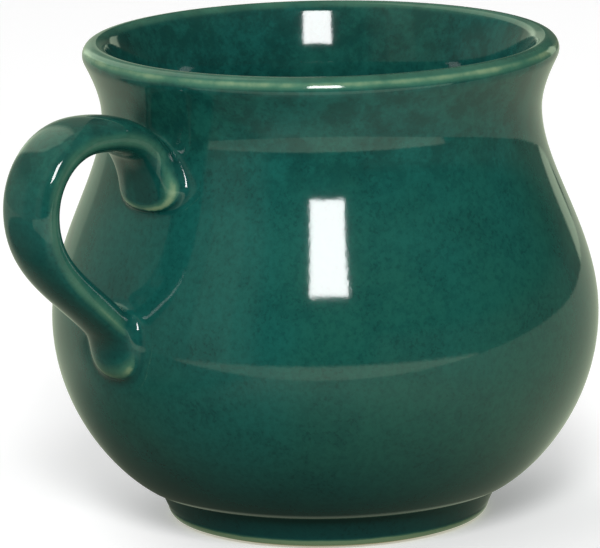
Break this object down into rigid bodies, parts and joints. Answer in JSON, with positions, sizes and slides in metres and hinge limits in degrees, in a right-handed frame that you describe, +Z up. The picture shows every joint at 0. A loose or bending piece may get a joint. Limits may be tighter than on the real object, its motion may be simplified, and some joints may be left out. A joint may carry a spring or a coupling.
{
  "type": "mug",
  "caption": "Round-bellied glazed stoneware mug with a drawn-in waist, flared rolled lip, turned foot ring and pulled strap handle.",
  "frame": {"origin": "on the table, in the middle of the foot's resting ring, on the bowl's axis", "axes": "+Z up along the bowl's axis, +X from the axis out through the handle, +Y across the strap"},
  "size_m": [0.1208, 0.1, 0.0883],
  "materials": {
    "stoneware": "bare fired stoneware, fine and matt, cream",
    "green_glaze": "glossy dark teal-green glaze, finely speckled, breaking pale green over edges"
  },
  "bodies": {
    "root": {"bowl": "stoneware", "foot_ring": "stoneware", "upper_joint": "stoneware", "handle": "stoneware", "lower_joint": "stoneware", "outer_glaze": "green_glaze", "liner_glaze": "green_glaze", "handle_glaze": "green_glaze"}
  },
  "joints": []
}
